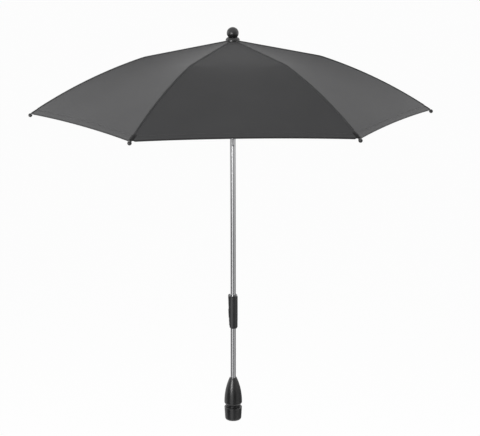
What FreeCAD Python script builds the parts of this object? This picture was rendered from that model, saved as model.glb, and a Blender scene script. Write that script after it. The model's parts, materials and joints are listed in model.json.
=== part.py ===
import FreeCAD, Part
import Sketcher
import math
import os

# Pram parasol. All lengths in millimetres, angles in degrees.
# Origin at the mouth of the foot socket, +Z up the pole, ribs at every 60 degrees from +X, front towards -Y.

os.makedirs("parts", exist_ok=True)
doc = FreeCAD.newDocument("pram_parasol")

RIB_COUNT = 6

SIZES = [
    ("fit_gap", 0.05, "radial gap of parts fixed in each other"),
    ("pin_gap", 0.06, "radial gap of a pin that turns in a hole"),
    ("run_gap", 0.3, "clear gap between moving bodies"),
    ("tube_diameter", 10.0, "outside of both pole tubes"),
    ("tube_wall", 0.8, "wall of both pole tubes"),
    ("socket_radius", 8.0, "bore of the foot socket"),
    ("socket_depth", 26.0, "depth of the foot socket"),
    ("liner_wall", 2.5, "wall of the socket liner"),
    ("liner_flange", 1.9, "overhang of the liner flange"),
    ("flange_height", 3.3, "height of the liner flange"),
    ("ledge_height", 2.1, "height of the collar's inner ledge"),
    ("spigot_wall", 1.95, "wall of the boot's spigot"),
    ("collar_wall", 3.3, "wall of the collar at its top"),
    ("collar_taper", 1.1, "collar drawn in towards its rounded foot"),
    ("collar_round_height", 4.0, "height of the collar's rounded foot"),
    ("collar_round_radius", 6.0, "arc of the collar's rounded foot"),
    ("collar_height", 24.2, "top of the collar"),
    ("collar_chamfer", 0.6, "chamfer of the collar's top edge"),
    ("groove_depth", 2.8, "depth of the groove under the boot"),
    ("groove_open", 3.6, "opening between collar and boot"),
    ("boot_over", 0.1, "largest radius of the boot over the collar"),
    ("boot_chamfer", 4.7, "height of the boot's side of the groove"),
    ("boot_height", 80.2, "top of the boot"),
    ("boot_arc", 114.0, "arc of the boot's side"),
    ("boot_lip", 1.4, "boot wall at its mouth"),
    ("boot_web", 7.0, "solid web between socket and tube"),
    ("boot_rivet_radius", 1.5, "cross rivet of the boot"),
    ("boot_rivet_rise", 9.45, "that rivet above the tube's seat"),
    ("lower_tube_top", 174.5, "top of the lower tube"),
    ("knuckle_plug", 25.0, "plug length in the lower tube"),
    ("knuckle_rivet_radius", 1.2, "cross rivet of the plug"),
    ("knuckle_rivet_drop", 16.0, "rivet below the tube's top"),
    ("pivot_rise", 8.5, "tilt axis above the lower tube"),
    ("drum_radius", 7.0, "round head of the knuckle"),
    ("drum_width", 9.6, "width of the knuckle's head"),
    ("tilt_pin_radius", 2.0, "tilt pin"),
    ("cheek_clear", 0.5, "gap between cheeks and knuckle"),
    ("housing_drop", 7.2, "bottom of the housing below the tilt axis"),
    ("housing_height", 60.8, "height of the housing"),
    ("cheek_wall", 3.2, "wall of the cheeks, front and rear"),
    ("housing_wall", 1.45, "right side of the housing beyond the screws"),
    ("housing_left_top", 8.8, "left side at the top"),
    ("housing_left_base", 6.75, "left side at the bottom"),
    ("housing_chamfer", 2.6, "chamfer of the lower corners"),
    ("housing_round", 2.5, "round of the upper corners"),
    ("housing_edge", 4.6, "round of the rear's long edges"),
    ("front_edge", 3.6, "round of the front's long edges"),
    ("front_crown", 0.9, "middle of the curved front beyond the rear's depth"),
    ("front_arc_share", 1.31, "arc of the housing's front, as a share of half its width"),
    ("web_clear", 0.6, "fork roof above the knuckle's head"),
    ("cavity_half_depth", 4.0, "brake cavity from the middle"),
    ("shoe_clear", 0.6, "brake cavity left of the shoe"),
    ("stem_clear", 1.8, "brake cavity right of the button's stem"),
    ("seat_height", 2.0, "spring seat between cavity and tube"),
    ("housing_rivet_radius", 1.5, "cross rivet of the upper tube"),
    ("housing_rivet_rise", 8.1, "rivet above the upper tube's seat"),
    ("screw_radius", 0.9, "housing screws"),
    ("screw_head_radius", 1.2, "heads of the housing screws"),
    ("screw_wall", 1.2, "screws right of the brake cavity"),
    ("upper_screw_drop", 7.0, "upper screw below the housing's top"),
    ("lower_screw_rise", 2.2, "lower screw above the fork roof"),
    ("shoe_half_width", 3.8, "brake shoe"),
    ("post_half_width", 3.0, "post of the brake shoe"),
    ("post_cap", 3.4, "top of the post above its window"),
    ("shoe_gap", 0.12, "gap between shoe and knuckle"),
    ("stem_rise", 7.9, "underside of the button's stem above the fork roof"),
    ("stem_tip_height", 1.1, "stem at its tip"),
    ("ramp_slope", 0.5, "rise of the stem's ramp"),
    ("stem_reach", 3.6, "tip of the stem right of the middle"),
    ("stem_half_width", 1.5, "stem width"),
    ("shoe_lift", 0.8, "lift of the brake shoe"),
    ("button_rise", 4.4, "bottom of the button above the fork roof"),
    ("button_height", 15.0, "height of the button"),
    ("button_half_width", 3.7, "width of the button"),
    ("button_proud", 0.6, "button proud of the housing"),
    ("button_back", 0.8, "inner face of the button left of the cavity"),
    ("spring_wire", 0.7, "wire of the brake spring"),
    ("spring_radius", 2.6, "mean radius of the brake spring"),
    ("spring_room", 4.0, "room for the brake spring above the post"),
    ("catch_clear", 3.0, "top of the catch's nose below the open runner"),
    ("catch_nose", 2.2, "nose proud of the tube"),
    ("catch_nose_height", 12.0, "height of the nose"),
    ("catch_flat", 2.0, "flat end of the nose"),
    ("catch_half_width", 1.5, "width of the catch"),
    ("catch_leaf", 54.0, "length of the leaf"),
    ("catch_leaf_thick", 0.7, "leaf"),
    ("hub_pivot_radius", 9.0, "rib pivots from the axis"),
    ("hub_rise", 504.3, "rib pivots above the tilt axis"),
    ("hub_wall", 3.5, "hub outside its pivots"),
    ("hub_below", 7.3, "hub below its pivots"),
    ("hub_above", 2.6, "hub above its pivots"),
    ("hub_ring_radius", 0.8, "wire of the hub's ring"),
    ("slot_clear", 0.2, "gap beside a rib in the slots of hub and runner"),
    ("rib_radius", 1.4, "rib rod"),
    ("rib_eye_radius", 2.4, "eyes of the ribs"),
    ("rib_eye_width", 2.4, "width of the eyes"),
    ("rib_slope", 9.85, "fall of the inner rib"),
    ("rib_bend_radius_at", 146.0, "start of the bend from the axis"),
    ("rib_bend_arc", 80.0, "arc of the bend"),
    ("rib_outer_slope", 18.5, "fall after the bend"),
    ("rib_outer_arc", 812.0, "arc of the outer rib"),
    ("bracket_back", 10.0, "stretcher bracket inside the bend"),
    ("bracket_length", 9.0, "bracket along the rib"),
    ("bracket_width", 6.0, "bracket across the rib"),
    ("bracket_drop", 5.0, "stretcher pivot below the rib"),
    ("bracket_pin_radius", 1.0, "pin of the bracket"),
    ("tip_ball_radius", 3.4, "end ball of a rib"),
    ("tip_ball_reach", 0.9, "ball centre beyond the rib's end"),
    ("tip_sleeve", 2.3, "neck of the ball over the rib's end"),
    ("tip_neck_radius", 2.0, "neck of the ball"),
    ("pin_head_radius", 1.7, "heads of the bracket pins"),
    ("pin_head", 0.5, "height of those heads"),
    ("runner_pivot_radius", 12.0, "stretcher ends from the axis"),
    ("runner_drop", 115.3, "stretcher ends below the rib pivots, canopy open"),
    ("runner_wall", 2.75, "wall of the runner's sleeve"),
    ("runner_length", 48.0, "runner below its pivots"),
    ("runner_top", 11.0, "runner above its pivots"),
    ("crown_wall", 3.0, "runner's crown outside its pivots"),
    ("crown_half", 4.5, "half height of the crown"),
    ("runner_flange", 2.5, "overhang of the lower flange"),
    ("runner_gap", 0.25, "runner on the tube"),
    ("stretcher_radius", 1.3, "stretcher rod"),
    ("stretcher_eye_radius", 2.3, "stretcher eyes"),
    ("stretcher_eye_width", 2.5, "width of the stretcher eyes"),
    ("canopy_thick", 0.8, "fabric with its seams"),
    ("canopy_lift", 2.7, "top of the fabric above the rib's middle"),
    ("canopy_hole_radius", 6.0, "corners of the hole in the middle"),
    ("canopy_hole_rise", 5.0, "fabric at the hole's corners above the rib pivots"),
    ("canopy_corner_radius", 347.8, "corners of the fabric"),
    ("corner_back", 1.37, "corners of the fabric inside the ribs' ends"),
    ("hem_inset", 3.6, "hem drawn in half way between ribs"),
    ("hem_margin", 0.5, "straight part of the hem at the corners"),
    ("hem_drop", 2.5, "turned-down hem"),
    ("hem_notch", 2.8, "hem cut back beside a rib"),
    ("knob_radius", 10.3, "ball of the knob"),
    ("knob_rise", 23.8, "top of the knob above the skirt's edge"),
    ("knob_neck_radius", 7.6, "neck under the ball"),
    ("skirt_radius", 12.2, "skirt under the neck"),
    ("skirt_drop", 0.6, "lower edge of the skirt below the hole's fabric"),
    ("skirt_edge", 0.9, "edge of the skirt"),
    ("skirt_arc_share", 0.74, "round of the skirt, as a share of its chord"),
    ("stud_radius", 2.5, "screw of the knob"),
    ("stud_length", 33.0, "length of that screw"),
    ("plug_length", 20.0, "plug in the upper tube"),
    ("washer_radius", 4.8, "spacer under the knob"),
]

sheet = doc.addObject("Spreadsheet::Sheet", "Sizes")
for row, (alias, value, note) in enumerate(SIZES, start=1):
    sheet.set(f"A{row}", note)
    sheet.set(f"B{row}", str(value))
    sheet.setAlias(f"B{row}", alias)
doc.recompute()


class Size:
    """A number together with the sheet expression it comes from."""

    def __init__(self, value, text):
        self.value = value
        self.text = text

    def join(self, other, sign, value):
        return Size(value, f"({self.text} {sign} {other.text})")

    def __add__(self, other):
        other = as_size(other)
        return self.join(other, "+", self.value + other.value)

    def __sub__(self, other):
        other = as_size(other)
        return self.join(other, "-", self.value - other.value)

    def __mul__(self, other):
        other = as_size(other)
        return self.join(other, "*", self.value * other.value)

    def __truediv__(self, other):
        other = as_size(other)
        return self.join(other, "/", self.value / other.value)

    def __neg__(self):
        return Size(-self.value, f"(-1 * {self.text})")

    __radd__ = __add__
    __rmul__ = __mul__


def as_size(number):
    return number if isinstance(number, Size) else Size(number, repr(number))


def sine(angle):
    return Size(math.sin(math.radians(angle.value)), f"sin({angle.text})")


def cosine(angle):
    return Size(math.cos(math.radians(angle.value)), f"cos({angle.text})")


def arcsine(share):
    return Size(math.degrees(math.asin(share.value)), f"asin({share.text})")


def tangent(angle):
    return Size(math.tan(math.radians(angle.value)), f"tan({angle.text})")


def root(square):
    return Size(math.sqrt(square.value), f"sqrt({square.text})")


class Sheet:
    """Sheet cells by their alias."""

    def __getattr__(self, alias):
        return Size(float(sheet.get(alias)), f"Sizes.{alias}")


v = Sheet()
V = FreeCAD.Vector


def bind(thing, prop, amount):
    amount = as_size(amount)
    setattr(thing, prop, amount.value)
    thing.setExpression(prop, amount.text)


def new_body(label):
    return doc.addObject("PartDesign::Body", label)


def plane(body, role):
    return next(feature for feature in body.Origin.OriginFeatures if feature.Role == role)


def new_sketch(body, role, lift=0):
    """Sketch on an origin plane of the body, moved along the plane's normal by lift."""
    sketch = body.newObject("Sketcher::SketchObject", body.Label + "_sketch")
    sketch.AttachmentSupport = [(plane(body, role), "")]
    sketch.MapMode = "FlatFace"
    if isinstance(lift, Size):
        sketch.AttachmentOffset = FreeCAD.Placement(V(0, 0, lift.value), FreeCAD.Rotation())
        sketch.setExpression("AttachmentOffset.Base.z", lift.text)
    return sketch


def fix_point(sketch, geometry, end, x, y):
    """Dimension a point from the origin; a plain 0 puts it on the axis."""
    for kind, axis, amount in (("DistanceX", -2, x), ("DistanceY", -1, y)):
        if isinstance(amount, Size):
            rule = Sketcher.Constraint(kind, -1, 1, geometry, end, amount.value)
            index = sketch.addConstraint(rule)
            sketch.setExpression(f"Constraints[{index}]", amount.text)
        else:
            sketch.addConstraint(Sketcher.Constraint("PointOnObject", geometry, end, axis))


def number(amount):
    return amount.value if isinstance(amount, Size) else float(amount)


def arc_between(start, stop, radius):
    """Arc from start to stop; a positive radius turns left, a negative one right."""
    middle = (start + stop) * 0.5
    chord = stop - start
    height = math.sqrt(max(radius * radius - chord.Length ** 2 * 0.25, 0.0))
    left = V(-chord.y, chord.x, 0).normalize()
    centre = middle + left * math.copysign(height, radius)
    circle = Part.Circle(centre, V(0, 0, 1), abs(radius))
    first, last = (start, stop) if radius > 0 else (stop, start)
    angles = [math.atan2(p.y - centre.y, p.x - centre.x) for p in (first, last)]
    return Part.ArcOfCircle(circle, angles[0], angles[1])


def draw(sketch, points, closed=True):
    """Dimensioned outline. A point is (x, y), or (x, y, radius) to reach it by an arc."""
    spots = [V(number(p[0]), number(p[1]), 0) for p in points]
    count = len(points) if closed else len(points) - 1
    ends = []
    for index in range(count):
        follow = (index + 1) % len(points)
        goal = points[follow]
        if len(goal) == 3:
            radius = as_size(goal[2])
            geometry = sketch.addGeometry(arc_between(spots[index], spots[follow], radius.value))
            rule = sketch.addConstraint(Sketcher.Constraint("Radius", geometry, abs(radius.value)))
            text = radius.text if radius.value > 0 else f"(-1 * {radius.text})"
            sketch.setExpression(f"Constraints[{rule}]", text)
            ends.append((geometry, 1, 2) if radius.value > 0 else (geometry, 2, 1))
        else:
            geometry = sketch.addGeometry(Part.LineSegment(spots[index], spots[follow]))
            ends.append((geometry, 1, 2))
    for index in range(count if closed else count - 1):
        here, after = ends[index], ends[(index + 1) % count]
        sketch.addConstraint(Sketcher.Constraint("Coincident", here[0], here[2], after[0], after[1]))
    for index in range(count):
        fix_point(sketch, ends[index][0], ends[index][1], points[index][0], points[index][1])
    if not closed:
        fix_point(sketch, ends[-1][0], ends[-1][2], points[-1][0], points[-1][1])
    return sketch


def ring(sketch, x, y, radius):
    """Dimensioned full circle."""
    geometry = sketch.addGeometry(Part.Circle(V(number(x), number(y), 0), V(0, 0, 1), radius.value))
    fix_point(sketch, geometry, 3, x, y)
    rule = sketch.addConstraint(Sketcher.Constraint("Radius", geometry, radius.value))
    sketch.setExpression(f"Constraints[{rule}]", radius.text)
    return sketch


def box_points(x0, x1, y0, y1):
    return [(x0, y0), (x1, y0), (x1, y1), (x0, y1)]


def feature(body, kind, sketch, length=None, side="Symmetric", reverse=False):
    """Pad or pocket of a sketch."""
    made = body.newObject(kind, body.Label + "_" + kind.split("::")[1].lower())
    made.Profile = sketch
    made.SideType = side
    made.Reversed = reverse
    if length is None:
        made.Type = "ThroughAll"
    else:
        bind(made, "Length", length)
    sketch.Visibility = False
    return made


def pad(body, sketch, length, side="Symmetric", reverse=False):
    return feature(body, "PartDesign::Pad", sketch, length, side, reverse)


def pocket(body, sketch, length=None, side="Symmetric", reverse=False):
    return feature(body, "PartDesign::Pocket", sketch, length, side, reverse)


def spin(body, sketch, axis="V_Axis", kind="PartDesign::Revolution"):
    """Full turn of a sketch about one of its axes."""
    made = body.newObject(kind, body.Label + "_turn")
    made.Profile = sketch
    made.ReferenceAxis = (sketch, [axis])
    made.Angle = 360
    sketch.Visibility = False
    return made


def turned(label, points):
    """Body turned about Z from a radius and height outline."""
    body = new_body(label)
    spin(body, draw(new_sketch(body, "XZ_Plane"), points))
    return body


def around(body, original):
    """Repeat a feature at every rib."""
    pattern = body.newObject("PartDesign::PolarPattern", body.Label + "_pattern")
    pattern.Originals = [original]
    pattern.Axis = (plane(body, "Z_Axis"), [""])
    pattern.Angle = 360
    pattern.Occurrences = RIB_COUNT
    body.Tip = pattern
    return pattern


def cross_hole(body, height, radius, x=0):
    """Hole along Y right through the body."""
    return pocket(body, ring(new_sketch(body, "XZ_Plane"), x, height, radius))


def cross_pin(label, height, radius, front, rear, x=0):
    """Plain pin along Y from front (negative side) to rear."""
    body = new_body(label)
    sketch = ring(new_sketch(body, "XZ_Plane", front), x, height, radius)
    pad(body, sketch, front + rear, "One side", reverse=True)
    return body


def place(thing, position, tilt, turn):
    """Turn about Y by tilt at position in the XZ plane, then about Z by turn."""
    lean = FreeCAD.Placement(position, FreeCAD.Rotation(V(0, 1, 0), tilt))
    swing = FreeCAD.Placement(V(0, 0, 0), FreeCAD.Rotation(V(0, 0, 1), turn))
    thing.Placement = swing.multiply(lean)


# Shared heights and radii.
tube_r = v.tube_diameter / 2
tube_in = tube_r - v.tube_wall
tube_bore = tube_r + v.fit_gap
plug_r = tube_in - v.fit_gap

liner_r = v.socket_radius + v.liner_wall
flange_r = liner_r + v.liner_flange
liner_top = v.socket_depth + v.liner_wall
ledge_base = v.flange_height + v.run_gap
ledge_top = ledge_base + v.ledge_height
spigot_base = ledge_top + v.run_gap
spigot_in = liner_r + v.fit_gap
spigot_out = spigot_in + v.spigot_wall
collar_bore = spigot_out + v.run_gap
collar_r = collar_bore + v.collar_wall
collar_foot = collar_r - v.collar_taper
boot_r = collar_r + v.boot_over
boot_base = v.collar_height + v.groove_open
boot_floor = liner_top + v.fit_gap
boot_seat = boot_floor + v.boot_web
boot_rivet_z = boot_seat + v.boot_rivet_rise

pivot = v.lower_tube_top + v.pivot_rise
housing_base = pivot - v.housing_drop
fork_roof = pivot + v.drum_radius + v.web_clear
shoe_w = v.shoe_half_width
stem_base = fork_roof + v.stem_rise
ramp_tip = stem_base + v.stem_tip_height
window_start = ramp_tip + v.run_gap + (v.stem_reach + shoe_w) * v.ramp_slope
post_top = window_start + v.post_cap
cavity_top = post_top + v.spring_room
tube_seat = cavity_top + v.seat_height
housing_top = housing_base + v.housing_height
cheek_gap = v.drum_width / 2 + v.cheek_clear
half_depth = cheek_gap + v.cheek_wall
cavity_left = shoe_w + v.shoe_clear
cavity_right = v.stem_reach + v.stem_clear
screw_side = cavity_right + v.screw_wall
housing_right = screw_side + v.housing_wall
button_inner = cavity_left + v.button_back
rivet_height = tube_seat + v.housing_rivet_rise
rivet_front = tube_r + v.housing_rivet_radius
pin_front = cheek_gap + v.tilt_pin_radius
screw_heights = [housing_top - v.upper_screw_drop, fork_roof + v.lower_screw_rise]
button_base = fork_roof + v.button_rise
button_top = button_base + v.button_height

hub_r = v.hub_pivot_radius
hub_out = hub_r + v.hub_wall
slot_half = v.rib_radius + v.slot_clear
crown_r = v.runner_pivot_radius + v.crown_wall
hub_z = pivot + v.hub_rise
run_z = hub_z - v.runner_drop
catch_top = run_z - v.runner_length - v.catch_clear
hub_top = hub_z + v.hub_above
tube_top = hub_z + v.rib_radius
hole_z = hub_z + v.canopy_hole_rise
cap_base = hole_z + v.run_gap
skirt_z = hole_z - v.skirt_drop
knob_top = skirt_z + v.knob_rise
knob_centre = knob_top - v.knob_radius

bend = (v.rib_bend_radius_at, hub_z - (v.rib_bend_radius_at - hub_r) * tangent(v.rib_slope))
bend_end = (
    bend[0] + v.rib_bend_arc * (sine(v.rib_outer_slope) - sine(v.rib_slope)),
    bend[1] - v.rib_bend_arc * (cosine(v.rib_slope) - cosine(v.rib_outer_slope)),
)
rib_reach = v.canopy_corner_radius + v.corner_back
rib_end_slope = arcsine(sine(v.rib_outer_slope) + (rib_reach - bend_end[0]) / v.rib_outer_arc)
rib_end = (
    rib_reach,
    bend_end[1] - v.rib_outer_arc * (cosine(v.rib_outer_slope) - cosine(rib_end_slope)),
)
bracket_u = (v.rib_bend_radius_at - v.bracket_back - hub_r) / cosine(v.rib_slope)
joint = (
    hub_r + bracket_u * cosine(v.rib_slope) - v.bracket_drop * sine(v.rib_slope),
    hub_z - bracket_u * sine(v.rib_slope) - v.bracket_drop * cosine(v.rib_slope),
)
strut_x = v.runner_pivot_radius - joint[0]
strut_z = joint[1] - run_z
strut_length = root(strut_x * strut_x + strut_z * strut_z)
strut_angle = math.degrees(math.atan2(strut_z.value, strut_x.value))
AZIMUTHS = [360.0 / RIB_COUNT * index for index in range(RIB_COUNT)]


# Foot.
foot_start = collar_foot - v.collar_round_radius + root(
    v.collar_round_radius * v.collar_round_radius - v.collar_round_height * v.collar_round_height)
ledge_r = liner_r + v.run_gap
collar_mouth = flange_r + v.run_gap
turned("foot_collar", [
    (collar_mouth, 0),
    (foot_start, 0),
    (collar_foot, v.collar_round_height, v.collar_round_radius),
    (collar_r, v.collar_height - v.collar_chamfer),
    (collar_r - v.collar_chamfer, v.collar_height),
    (collar_bore, v.collar_height),
    (collar_bore, ledge_top),
    (ledge_r, ledge_top),
    (ledge_r, ledge_base),
    (collar_mouth, ledge_base),
])

turned("socket_liner", [
    (v.socket_radius, 0),
    (flange_r, 0),
    (flange_r, v.flange_height),
    (liner_r, v.flange_height),
    (liner_r, liner_top),
    (0, liner_top),
    (0, v.socket_depth),
    (v.socket_radius, v.socket_depth),
])

boot = turned("foot_boot", [
    (spigot_in, spigot_base),
    (spigot_out, spigot_base),
    (spigot_out, boot_base),
    (boot_r - v.groove_depth, boot_base),
    (boot_r, boot_base + v.boot_chamfer),
    (tube_r + v.boot_lip, v.boot_height, v.boot_arc),
    (tube_bore, v.boot_height),
    (tube_bore, boot_seat),
    (0, boot_seat),
    (0, boot_floor),
    (spigot_in, boot_floor),
])
boot_rivet_hole = v.boot_rivet_radius + v.fit_gap
boot_rivet_front = tube_r + v.boot_rivet_radius
sketch = new_sketch(boot, "XZ_Plane", boot_rivet_front)
pocket(boot, ring(sketch, 0, boot_rivet_z, boot_rivet_hole), None, "One side")
boot_rivet_rear = boot_r - v.boot_lip
cross_pin("boot_rivet", boot_rivet_z, v.boot_rivet_radius,
          boot_rivet_front - v.fit_gap, boot_rivet_rear)

tube = turned("lower_tube", box_points(tube_in, tube_r, boot_seat + v.fit_gap, v.lower_tube_top))
cross_hole(tube, boot_rivet_z, boot_rivet_hole)
knuckle_rivet_height = v.lower_tube_top - v.knuckle_rivet_drop
knuckle_rivet_front = tube_in / 2
knuckle_rivet_hole = v.knuckle_rivet_radius + v.fit_gap
sketch = new_sketch(tube, "XZ_Plane")
pocket(tube, ring(sketch, 0, knuckle_rivet_height, knuckle_rivet_hole), None, "One side")

knuckle_step = v.lower_tube_top + v.fit_gap
knuckle_neck = pivot - v.tilt_pin_radius
knuckle = turned("tilt_knuckle", [
    (0, v.lower_tube_top - v.knuckle_plug),
    (plug_r, v.lower_tube_top - v.knuckle_plug),
    (plug_r, knuckle_step),
    (tube_r, knuckle_step),
    (tube_r, knuckle_neck),
    (0, knuckle_neck),
])
pad(knuckle, ring(new_sketch(knuckle, "XZ_Plane"), 0, pivot, v.drum_radius), v.drum_width)
cross_hole(knuckle, pivot, v.tilt_pin_radius + v.pin_gap)
sketch = new_sketch(knuckle, "XZ_Plane", knuckle_rivet_front)
pocket(knuckle, ring(sketch, 0, knuckle_rivet_height, knuckle_rivet_hole), None, "One side")
cross_pin("knuckle_rivet", knuckle_rivet_height, v.knuckle_rivet_radius,
          knuckle_rivet_front - v.fit_gap, tube_r)


# Tilt joint.
def housing_half(label, rear):
    """One half shell of the joint housing, split at Y = 0."""
    body = new_body(label)
    left = -v.housing_left_top
    right = housing_right
    if rear:
        edge = v.housing_edge
        flat = half_depth - edge
        plan = [(right, 0), (right, flat), (right - edge, half_depth, edge), (left + edge, half_depth),
                (left, flat, edge), (left, 0)]
    else:
        # One arc across the front, which runs smoothly into its two round edges.
        edge = v.front_edge
        half_width = (right - left) / 2
        arc = v.front_arc_share * half_width
        arc_back = half_depth + v.front_crown - arc
        aside = half_width - edge
        ahead = root((arc - edge) * (arc - edge) - aside * aside)
        stretch = arc / (arc - edge)
        middle = (right + left) / 2
        flat = arc_back + ahead
        meet = -arc_back - ahead * stretch
        plan = [(left, 0), (left, -flat), (middle - aside * stretch, meet, edge),
                (middle + aside * stretch, meet, arc), (right, -flat, edge), (right, 0)]
    pad(body, draw(new_sketch(body, "XY_Plane", housing_base), plan), v.housing_height, "One side")

    # Everything outside the front view is cut away: left taper, round top corners, bottom chamfers.
    frame = new_sketch(body, "XZ_Plane")
    around_x = v.housing_left_top + v.housing_round
    draw(frame, box_points(-around_x, around_x,
                           housing_base - v.housing_round, housing_top + v.housing_round))
    draw(frame, [
        (v.housing_chamfer - v.housing_left_base, housing_base),
        (right - v.housing_chamfer, housing_base),
        (right, housing_base + v.housing_chamfer),
        (right, housing_top - v.housing_round),
        (right - v.housing_round, housing_top, v.housing_round),
        (left + v.housing_round, housing_top),
        (left, housing_top - v.housing_round, v.housing_round),
        (-v.housing_left_base, housing_base + v.housing_chamfer),
    ])
    pocket(body, frame)

    fork = draw(new_sketch(body, "YZ_Plane"),
                box_points(-cheek_gap, cheek_gap, housing_base - v.housing_round, fork_roof))
    pocket(body, fork)
    cavity = draw(new_sketch(body, "XZ_Plane"),
                  box_points(-cavity_left, cavity_right, fork_roof - v.run_gap, cavity_top))
    pocket(body, cavity, 2 * v.cavity_half_depth)
    window = draw(new_sketch(body, "XZ_Plane"),
                  box_points(-around_x, v.run_gap - cavity_left,
                             button_base - v.run_gap, button_top + v.run_gap))
    pocket(body, window, 2 * (v.button_half_width + v.run_gap))
    pocket(body, ring(new_sketch(body, "XY_Plane", housing_top), 0, 0, tube_bore),
           housing_top - tube_seat, "One side")
    pocket(body, ring(new_sketch(body, "XZ_Plane", pin_front), 0, pivot, v.tilt_pin_radius + v.fit_gap),
           None, "One side")
    pocket(body, ring(new_sketch(body, "XZ_Plane", rivet_front), 0, rivet_height,
                      v.housing_rivet_radius + v.fit_gap), None, "One side")
    for height in screw_heights:
        hole = new_sketch(body, "XZ_Plane", cheek_gap)
        pocket(body, ring(hole, screw_side, height, v.screw_radius + v.fit_gap), None, "One side")
        if rear:
            head = new_sketch(body, "XZ_Plane", -v.cavity_half_depth)
            pocket(body, ring(head, screw_side, height, v.screw_head_radius + v.fit_gap), None, "One side")
    return body


housing_half("housing_front", False)
housing_half("housing_rear", True)
cross_pin("tilt_pin", pivot, v.tilt_pin_radius, pin_front - v.fit_gap, half_depth)
cross_pin("housing_rivet", rivet_height, v.housing_rivet_radius, rivet_front - v.fit_gap, half_depth)

for label, height in zip(["housing_screw_upper", "housing_screw_lower"], screw_heights):
    screw = cross_pin(label, height, v.screw_radius,
                      cheek_gap - v.fit_gap, v.cavity_half_depth, screw_side)
    sketch = new_sketch(screw, "XZ_Plane", -v.cavity_half_depth)
    pad(screw, ring(sketch, screw_side, height, v.screw_head_radius), 2 * v.screw_radius, "One side", True)

shoe = new_body("brake_shoe")
post_w = v.post_half_width
shoe_arc = v.drum_radius + v.shoe_gap
shoe_base = pivot + root(shoe_arc * shoe_arc - shoe_w * shoe_w)
block_top = button_base - v.shoe_lift - v.run_gap
pad(shoe, draw(new_sketch(shoe, "XZ_Plane"), [
    (-shoe_w, shoe_base),
    (shoe_w, shoe_base, -shoe_arc),
    (shoe_w, block_top),
    (post_w, block_top),
    (post_w, post_top),
    (-post_w, post_top),
    (-post_w, block_top),
    (-shoe_w, block_top),
]), 2 * (v.cavity_half_depth - v.run_gap))
window_base = stem_base - v.shoe_lift - v.run_gap
window_end = ramp_tip + v.run_gap + (v.stem_reach - shoe_w) * v.ramp_slope
pocket(shoe, draw(new_sketch(shoe, "XZ_Plane"), [
    (-shoe_w, window_base),
    (shoe_w, window_base),
    (shoe_w, window_end),
    (-shoe_w, window_start),
]), 2 * (v.stem_half_width + v.run_gap))

button = new_body("release_button")
taper = (v.housing_left_top - v.housing_left_base) / v.housing_height
outer_low = v.housing_left_base + v.button_proud + (button_base - housing_base) * taper
outer_high = v.housing_left_base + v.button_proud + (button_top - housing_base) * taper
pad(button, draw(new_sketch(button, "XZ_Plane"), [
    (-outer_low, button_base),
    (-button_inner, button_base),
    (-button_inner, button_top),
    (-outer_high, button_top),
]), 2 * v.button_half_width)
ramp_root = ramp_tip + 2 * v.stem_reach * v.ramp_slope
pad(button, draw(new_sketch(button, "XZ_Plane"), [
    (-button_inner, stem_base),
    (v.stem_reach, stem_base),
    (v.stem_reach, ramp_tip),
    (-v.stem_reach, ramp_root),
    (-button_inner, ramp_root),
]), 2 * v.stem_half_width)

coil_base = post_top + v.fit_gap + v.spring_wire / 2
coil_height = cavity_top - v.fit_gap - v.spring_wire / 2 - coil_base
SPRING_TURNS = 2.5
helix = doc.addObject("Part::Helix", "spring_line")
bind(helix, "Pitch", coil_height / SPRING_TURNS)
bind(helix, "Height", coil_height)
bind(helix, "Radius", v.spring_radius)
wire = doc.addObject("Part::Circle", "spring_wire")
bind(wire, "Radius", v.spring_wire / 2)
wire.Placement = FreeCAD.Placement(V(v.spring_radius.value, 0, 0), FreeCAD.Rotation(V(1, 0, 0), 90))
wire.setExpression("Placement.Base.x", v.spring_radius.text)
coil = doc.addObject("Part::Sweep", "brake_spring")
coil.Sections = [wire]
coil.Spine = (helix, ["Edge1"])
coil.Solid = True
coil.Frenet = True
coil.Placement.Base = V(0, 0, coil_base.value)
coil.setExpression("Placement.Base.z", coil_base.text)


# Upper tube, catch and top.
tube = turned("upper_tube", box_points(tube_in, tube_r, tube_seat + v.fit_gap, tube_top))
cross_hole(tube, rivet_height, v.housing_rivet_radius + v.fit_gap)
slot_w = v.catch_half_width + v.run_gap
slot_base = catch_top - v.catch_nose_height - v.run_gap
sketch = new_sketch(tube, "XZ_Plane")
draw(sketch, box_points(-slot_w, slot_w, slot_base, catch_top + v.run_gap))
pocket(tube, sketch, None, "One side", True)

catch = new_body("runner_catch")
leaf_out = root(tube_in * tube_in - v.catch_half_width * v.catch_half_width) - v.run_gap
leaf_in = leaf_out - v.catch_leaf_thick
nose = tube_r + v.catch_nose
leaf_base = catch_top - v.catch_leaf
pad(catch, draw(new_sketch(catch, "YZ_Plane"), [
    (-leaf_in, leaf_base),
    (-leaf_in, catch_top),
    (-nose, catch_top),
    (-nose, catch_top - v.catch_flat),
    (-leaf_out, catch_top - v.catch_nose_height),
    (-leaf_out, leaf_base),
]), 2 * v.catch_half_width)

stud_bore = v.stud_radius + v.fit_gap
turned("tube_plug", box_points(stud_bore, plug_r, tube_top - v.plug_length, tube_top))

hub = turned("top_hub", [
    (tube_bore, hub_z - v.hub_below),
    (hub_out - v.hub_above, hub_z - v.hub_below),
    (hub_out, hub_z - v.hub_below + v.hub_above),
    (hub_out, hub_top - v.hub_ring_radius),
    (hub_out - v.hub_above, hub_top),
    (tube_bore, hub_top),
])
sketch = ring(new_sketch(hub, "XZ_Plane"), hub_r, hub_z, v.hub_ring_radius + v.fit_gap)
spin(hub, sketch, kind="PartDesign::Groove")
hub_slot = draw(new_sketch(hub, "XY_Plane", hub_top),
                box_points(hub_r - v.rib_eye_radius - v.run_gap, hub_out + v.run_gap,
                           -slot_half, slot_half))
around(hub, pocket(hub, hub_slot, None, "One side"))

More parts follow.
